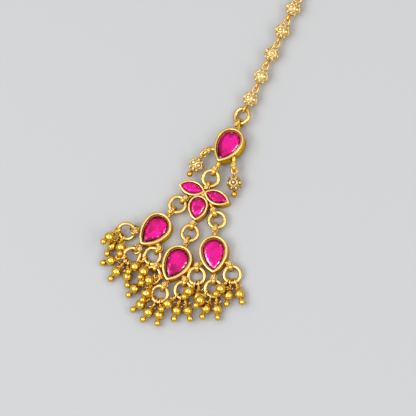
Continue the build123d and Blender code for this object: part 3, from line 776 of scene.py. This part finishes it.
def eye_pin(name, seat, eye_radius, link_radius, finish, node):
    """Pin through a bead, with a flat eye towards +Y and an upright link towards -Y."""
    skin = Skin()
    near = BEAD / 2
    eye = oval(eye_radius, EYE_LENGTH) + [0, near + eye_radius + EYE_LENGTH / 2, 0]
    tube(skin, seat.carry(eye), EYE_WIRE / 2, seat.axes[2], ring=True, relief=0.75)
    link = Seat(seat.carry([0, -near - link_radius, 0]), [seat.axes[2], seat.axes[1], -seat.axes[0]])
    hoop(skin, link, link_radius, EYE_WIRE, relief=0.75)
    rod = np.linspace([0, -near, 0], [0, near, 0], 6)
    tube(skin, seat.carry(rod), CHAIN_WIRE / 2, seat.axes[2])
    skin.piece(name, finish, "wire_gold", True, node)


def side_pin(name, seat, finish, node):
    """Headpin of a side drop along Y: eye, wrapped neck, pin and tail ball."""
    skin = Skin()
    near = SIDE_REACH - 2 * EYE_RADIUS - EYE_LENGTH / 2
    eye = oval(EYE_RADIUS, EYE_LENGTH / 2) + [0, near + EYE_RADIUS + EYE_LENGTH / 4, 0]
    tube(skin, seat.carry(eye), EYE_WIRE / 2, seat.axes[2], ring=True, relief=0.75)
    up = Seat(seat.origin, [seat.axes[2], seat.axes[0], seat.axes[1]])
    coil(skin, up, SIDE_WRAP, SIDE_WRAP, BEAD / 2, near + 0.05, 2.5)
    bottom = -(BEAD + SIDE_TAIL) / 2 - 0.12
    pin = [(0, bottom), (SIDE_NECK, bottom + 0.1), (SIDE_NECK, near), (0, near + 0.1)]
    lathe(skin, up, pin, sides=10)
    tail = ball_profile(SIDE_TAIL / 2, bottom, 14)[:-2]
    lip = [(0.26, bottom + SIDE_TAIL / 2), (0.32, 0.05 - BEAD / 2), (0, 0.1 - BEAD / 2)]
    lathe(skin, up, np.concatenate([tail, lip]), sides=20, relief=0.4)
    skin.piece(name, finish, "wire_gold", True, node)


def wire_hook(finish):
    """Upright eye, straight shank and a half-circle crook, in wire that comes down to the floor."""
    reach = HOOK_EYE_RADIUS + HOOK_SHANK + HOOK_BEND_RADIUS
    fall = np.degrees(np.arcsin((HOOK_EYE_HEIGHT - HOOK_WIRE / 2) / reach))
    end_y = CHAIN_START + (CHAIN_BEADS - 1) * CHAIN_PITCH + BEAD / 2
    at = (CHAIN_X, end_y + 2 * LAST_EYE_RADIUS + EYE_LENGTH, HOOK_EYE_HEIGHT)
    seat = Seat(at, spin(-fall, (1, 0, 0)))
    top = HOOK_EYE_RADIUS + HOOK_SHANK
    far = -2 * HOOK_BEND_RADIUS
    shank = np.linspace([0, HOOK_EYE_RADIUS, 0], [0, top, 0], 12)
    crook = arc(HOOK_BEND_RADIUS, np.linspace(0, np.pi, 24)[1:-1]) + [far / 2, top, 0]
    barb = np.linspace([far, top, 0], [far, top - HOOK_BARB, 0], 8)
    path = np.concatenate([shank, crook, barb])
    width = np.full(len(path), HOOK_WIRE / 2)
    width[-1] *= 0.7
    skin = Skin()
    tube(skin, seat.carry(path), width, seat.axes[2], sides=12, relief=0.55)
    eye = Seat(at, [seat.axes[2], seat.axes[1], -seat.axes[0]])
    hoop(skin, eye, HOOK_EYE_RADIUS, HOOK_WIRE, relief=0.55)
    tip = facing(seat.carry(path[-1]), seat.axes[0], -seat.axes[1])
    lathe(skin, tip, ball_profile(HOOK_WIRE / 2 * 0.98), sides=12, relief=0.6)
    skin.piece("wire_hook", finish, "wire_gold", True, "hook")


# ---------------------------------------------------------------- finishes

class Value:
    """A socket in a finish's node tree, with arithmetic."""

    def __init__(self, finish, socket):
        self.finish, self.socket = finish, socket

    def math(self, operation, first, second, clamp=False):
        settings = {"operation": operation, "use_clamp": clamp}
        return self.finish.node("ShaderNodeMath", settings, {0: first, 1: second})

    def __add__(self, other):
        return self.math("ADD", self, other)

    def __mul__(self, other):
        return self.math("MULTIPLY", self, other)

    def __sub__(self, other):
        return self.math("SUBTRACT", self, other)

    def __rsub__(self, other):
        return self.math("SUBTRACT", other, self)

    __radd__ = __add__
    __rmul__ = __mul__

    def clamp(self):
        """Kept between 0 and 1."""
        return self.math("ADD", self, 0.0, clamp=True)


class Finish:
    """A material with one Principled shader, and a method that makes its other nodes."""

    def __init__(self, name, **constants):
        self.material = bpy.data.materials.new(name)
        self.material.use_nodes = True
        self.tree = self.material.node_tree
        self.shader = next(n for n in self.tree.nodes if n.type == "BSDF_PRINCIPLED")
        for socket, value in constants.items():
            self.shader.inputs[socket.replace("_", " ")].default_value = value

    def node(self, kind, settings=None, inputs=None, out=0):
        """A node of a kind, its settings, its sockets' values or links, and which output is used."""
        made = self.tree.nodes.new(kind)
        for key, value in (settings or {}).items():
            if key == "stops":
                while len(made.color_ramp.elements) < len(value):
                    made.color_ramp.elements.new(1.0)
                for stop, (place, colour) in zip(made.color_ramp.elements, value):
                    stop.position = place
                    stop.color = colour
            else:
                setattr(made, key, value)
        self.join(made, inputs or {})
        return Value(self, made.outputs[out])

    def join(self, made, inputs):
        """Links or sets a node's sockets."""
        for key, value in inputs.items():
            if isinstance(value, Value):
                self.tree.links.new(value.socket, made.inputs[key])
            else:
                made.inputs[key].default_value = value

    def feed(self, inputs):
        """Links or sets the shader's own sockets."""
        self.join(self.shader, inputs)

    def ramp(self, value, stops):
        """Colour for a value, from stops of place and display colour."""
        stops = [(place, shown(*colour)) for place, colour in stops]
        return self.node("ShaderNodeValToRGB", {"stops": stops}, {0: value})

    def kept(self, name):
        """A number that the mesh keeps for each point or face."""
        return self.node("ShaderNodeAttribute", {"attribute_name": name}, out=2)

    def noise(self, scale, detail):
        """Cloudy noise on Object coordinates."""
        where = self.node("ShaderNodeTexCoord", out=3)
        return self.node("ShaderNodeTexNoise", None, {"Vector": where, "Scale": scale, "Detail": detail})


def shown(red, green, blue):
    """Display colour in 0 to 255, as the linear colour that a shader takes."""
    c = np.array([red, green, blue]) / 255
    return (*np.where(c <= 0.04045, c / 12.92, ((c + 0.055) / 1.055) ** 2.4), 1.0)


def gold(name, tones, roughness, grain, painted_flank_shade):
    """Antique gold plate: dark in the hollows and where painted shade falls, plain on the faces, pale
    where it is rubbed and where highlights are painted, with a cast grain and a soft cloudy tone.
    Painted shade darkens the flanks that face the floor, and the faces that look up are painted paler."""
    finish = Finish(name, Specular_Tint=shown(252, 219, 104))
    normal = finish.node("ShaderNodeNewGeometry", out=1)
    facing_up = finish.node("ShaderNodeSeparateXYZ", None, {0: normal}, out=2)
    cloud = finish.noise(420.0, 3.0)
    pits = finish.noise(2600.0, 3.0)
    # Painted shade and light: flanks that face the floor are darkened and faces that look up are paled
    flank_shade_and_grain = (facing_up - 0.6) * painted_flank_shade + (cloud - 0.5) * 0.2 + (pits - 0.5) * 0.3 * grain
    tone = (finish.kept("relief") + flank_shade_and_grain).clamp()
    rough = (roughness + (1 - tone) * 0.12 + (pits - 0.5) * 0.14 * grain).clamp()
    bump = {"Strength": 0.3 * grain, "Distance": 0.00005, "Height": pits + cloud * 0.6}
    finish.feed({
        "Base Color": finish.ramp(tone, zip(GOLD_STOPS, tones)),
        "Roughness": rough,
        "Metallic": (tone + 0.6).clamp(),
        "Normal": finish.node("ShaderNodeBump", None, bump),
    })
    return finish.material


def ruby():
    """Foil-backed magenta glass. Each shard of the pavilion is a cell with its own tilt: the height
    is the cell's slope times the distance from its middle, so it flashes as one plane under the
    polished top. The tone adds up depth, the shard's shade, a swirl and the backing's level with its
    painted tip shade, and falls off towards both ends of the table as painted shadow. Painted
    glints and the painted highlight facets are nearly white, and the girdle is maroon."""
    finish = Finish("ruby_foil_glass", Metallic=0.96, IOR=1.5, Coat_Roughness=0.06, Coat_IOR=2.0)
    depth, flash = finish.kept("relief"), finish.kept("flash")
    place = finish.node("ShaderNodeUVMap", {"uv_map": "table"})
    cells = {"voronoi_dimensions": "2D", "feature": "F1"}
    shard = {"Vector": place, "Scale": 3.2, "Randomness": 0.9}
    pick = finish.node("ShaderNodeTexVoronoi", cells, shard, out=1)
    middle = finish.node("ShaderNodeTexVoronoi", cells, shard, out=2)
    take, dot = {"operation": "SUBTRACT"}, {"operation": "DOT_PRODUCT"}
    offset = finish.node("ShaderNodeVectorMath", take, {0: place, 1: middle})
    slope = finish.node("ShaderNodeVectorMath", take, {0: pick, 1: (0.5, 0.5, 0.5)})
    height = finish.node("ShaderNodeVectorMath", dot, {0: offset, 1: slope}, out=1)
    bump = {"Strength": 0.9, "Distance": 0.0021, "Height": height}

    shade = finish.node("ShaderNodeSeparateColor", None, {0: pick})
    along = finish.node("ShaderNodeSeparateXYZ", None, {0: place}, out=1)
    # Painted shadow: the tone falls off towards both ends of the table
    shadow = ((along - 0.62) * 1.4).clamp() + ((-0.02 - along) * 1.6).clamp()
    tone = depth * 0.25 + shade * 0.34 + finish.noise(600.0, 1.0) * 0.3 + 0.15 - shadow * 0.36
    # The backing's level read here carries painted shade towards the tip
    colour = finish.ramp((tone + finish.kept("foil")).clamp(), [
        (0.05, (84, 0, 38)), (0.35, (164, 0, 82)), (0.62, (232, 0, 133)), (1.0, (255, 4, 168))])

    # Painted glints: a few small cells, mostly towards the girdle, painted pale
    glint = {"Vector": place, "Scale": 18.0, "Randomness": 1.0}
    spark = finish.node("ShaderNodeTexVoronoi", cells, glint, out=1)
    spark = finish.node("ShaderNodeSeparateColor", None, {0: spark})
    lit = ((spark - 0.98) * 120).clamp() * ((1.05 - depth) * 3).clamp()
    # Painted glints and painted highlight facets are mixed towards pale pink
    mixed = {0: (lit + flash * 0.6).clamp(), 6: colour, 7: shown(255, 214, 232)}
    finish.feed({
        "Base Color": finish.node("ShaderNodeMix", {"data_type": "RGBA"}, mixed, out=2),
        "Roughness": 0.13 + shade * 0.12,
        "Coat Weight": flash * 0.85 + 0.15,
        "Normal": finish.node("ShaderNodeBump", None, bump),
    })
    return finish.material


# ---------------------------------------------------------------- the whole jewel

def dress():
    """Every piece, in place of its solid."""
    cast, wire, ring, ball, bead = [gold(name, *row) for name, row in GOLDS.items()]
    red = ruby()

    size, top = (STONE_WIDTH, STONE_LENGTH, 0), SETTING_HEIGHT - RECESS_DEPTH
    for name, place in PEARS.items():
        pear_casting(name, cast)
        cut_stone("stone_" + name, casting_seat(place), pear_outline, size, top, red, FOILS_AND_PAINTED_SHADE[name])
    flower_casting(cast)
    inset, top = FLOWER_RIM + STONE_GAP, SETTING_HEIGHT - FLOWER_RECESS
    size = (BUD_WIDTH, BUD_LENGTH, inset)
    cut_stone("stone_bud", casting_seat(BUD), pear_outline, size, top, red, FOILS_AND_PAINTED_SHADE["bud"])
    size = (PETAL_WIDTH, PETAL_LENGTH, inset)
    for name, place in PETALS.items():
        cut_stone("stone_" + name, casting_seat(place), petal_outline, size, top, red, FOILS_AND_PAINTED_SHADE[name])

    for name, row in RINGS.items():
        hung = HUB if name == "flower" else PEARS["top" if name == "chain" else name]
        seat = facing(row[:3], ring_towards(row, hung), ring_normal(row))
        jump_ring("jump_ring_" + name, seat, RING_RADIUS, RING_WIRE, ring, "ring_" + name)
    for name, row in CLUSTERS.items():
        centre, away, normal = cluster_hang(row)
        jump_ring("cluster_ring_" + name, facing(centre, -away, normal), CLUSTER_RING_RADIUS,
                  CLUSTER_RING_WIRE, ring, "ring_" + name)
        drops(name, ball)

    for k in range(CHAIN_BEADS):
        sway = CHAIN_SWAY if k % 2 else -CHAIN_SWAY
        seat = Seat((CHAIN_X, CHAIN_START + k * CHAIN_PITCH, BEAD / 2), spin(sway, UP))
        turned = Seat(seat.origin, spin(BEAD_TURNS[k], (0, 1, 0)) @ seat.axes)
        rosette_bead(f"rosette_bead_{k + 1}", turned, bead, f"chain_bead_{k + 1}", CHAIN_PAINTED_SHADE[k])
        eye_radius = LAST_EYE_RADIUS if k == CHAIN_BEADS - 1 else EYE_RADIUS
        link_radius = FIRST_LINK_RADIUS if k == 0 else LINK_RADIUS
        eye_pin(f"eye_pin_{k + 1}", seat, eye_radius, link_radius, wire, f"chain_pin_{k + 1}")
    for name, row in SIDE_DROPS.items():
        at, along, normal = side_lie(row)
        seat = facing(at, np.cross(along, normal), normal)
        rosette_bead("rosette_bead_" + name, seat, bead, "side_bead_" + name, SIDE_PAINTED_SHADE[name])
        side_pin("headpin_" + name, seat, wire, "side_pin_" + name)
    wire_hook(wire)


# ---------------------------------------------------------------- stage

# Camera: angles in degrees, lens and sensor in millimetres, and in metres the width that it sees
# and how far its aim lies from the flower's middle
AZIMUTH, ELEVATION, ROLL = 54, 72, 30
LENS, SENSOR, FIELD = 600, 36, 0.10816
AIM = np.array([1.95, 0.52, 0.0]) * MM

# Light, in metres: the tall windows as place to the right and width, and how far back and down
# both stand, and the low window as place to the right, over and back
TALL_WINDOWS, TALL_HEIGHT, TALL_LEVEL = ((-0.54, 0.28), (0.52, 0.25)), 0.7, 4.2
TALL_BACK, TALL_DOWN = 0.75, 0.08
LOW_WINDOW, LOW_WIDTH, LOW_HEIGHT, LOW_LEVEL = (-0.8, 0.18, 0.57), 0.16, 0.5, 5.0
SKY_HEIGHT, SKY_WIDTH, SKY_LEVEL, ROOM_LEVEL = 0.9, 1.8, 0.6, 0.42
FLOOR_REACH = 3.0


def stage():
    """Pale floor, camera, two tall windows beside the camera's line, a narrow low one at its left,
    a soft sky and an even room."""
    world = bpy.data.worlds.new("room")
    bpy.context.scene.world = world
    world.use_nodes = True
    room = world.node_tree.nodes["Background"].inputs
    room[0].default_value = (1, 1, 1, 1)
    room[1].default_value = ROOM_LEVEL

    floor = Finish("pale_floor", Base_Color=(0.55, 0.56, 0.57, 1), Roughness=0.7)
    plane = bpy.data.meshes.new("floor")
    edge = np.array([(-1, -1, 0), (1, -1, 0), (1, 1, 0), (-1, 1, 0)]) * FLOOR_REACH
    plane.from_pydata(edge, [], [(0, 1, 2, 3)])
    plane.materials.append(floor.material)
    ground = bpy.data.objects.new("floor", plane)
    bpy.context.scene.collection.objects.link(ground)

    az, el, roll = np.radians([AZIMUTH, ELEVATION, ROLL])
    back = np.array([np.sin(az) * np.cos(el), -np.cos(az) * np.cos(el), np.sin(el)])
    level = np.array([np.cos(az), np.sin(az), 0])
    upright = np.cross(back, level)
    right = level * np.cos(roll) - upright * np.sin(roll)
    over = upright * np.cos(roll) + level * np.sin(roll)
    turn = Matrix(np.array([right, over, back]).T).to_4x4()

    low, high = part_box("setting_flower")
    aim = (np.array(low) + np.array(high)) / 2 * [1, 1, 0] + AIM
    camera = bpy.data.cameras.new("camera")
    camera.lens, camera.sensor_width = LENS, SENSOR
    camera.clip_start, camera.clip_end = 0.01, 20
    eye = bpy.data.objects.new("camera", camera)
    eye.matrix_world = Matrix.Translation(aim + back * (FIELD / SENSOR * LENS)) @ turn
    bpy.context.scene.collection.objects.link(eye)
    bpy.context.scene.camera = eye

    lamps = []
    for side, width in TALL_WINDOWS:
        place = right * side - over * TALL_DOWN + back * TALL_BACK
        lamps.append((place, turn, width, TALL_HEIGHT, TALL_LEVEL))
    place = LOW_WINDOW @ np.array([right, over, back])
    face = Matrix(facing(place, np.cross(over, place), place).axes.T).to_4x4()
    lamps.append((place, face, LOW_WIDTH, LOW_HEIGHT, LOW_LEVEL))
    lamps.append((UP * SKY_HEIGHT, Matrix.Identity(4), SKY_WIDTH, SKY_WIDTH, SKY_LEVEL))
    for k, (place, face, width, height, level) in enumerate(lamps):
        lamp = bpy.data.lights.new(f"soft_window_{k}", "AREA")
        lamp.shape, lamp.size, lamp.size_y = "RECTANGLE", width, height
        lamp.energy = level * np.pi * width * height
        pane = bpy.data.objects.new(lamp.name, lamp)
        pane.matrix_world = Matrix.Translation(aim + place) @ face
        bpy.context.scene.collection.objects.link(pane)

    bpy.context.scene.view_settings.view_transform = "Standard"


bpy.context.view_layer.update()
dress()
stage()
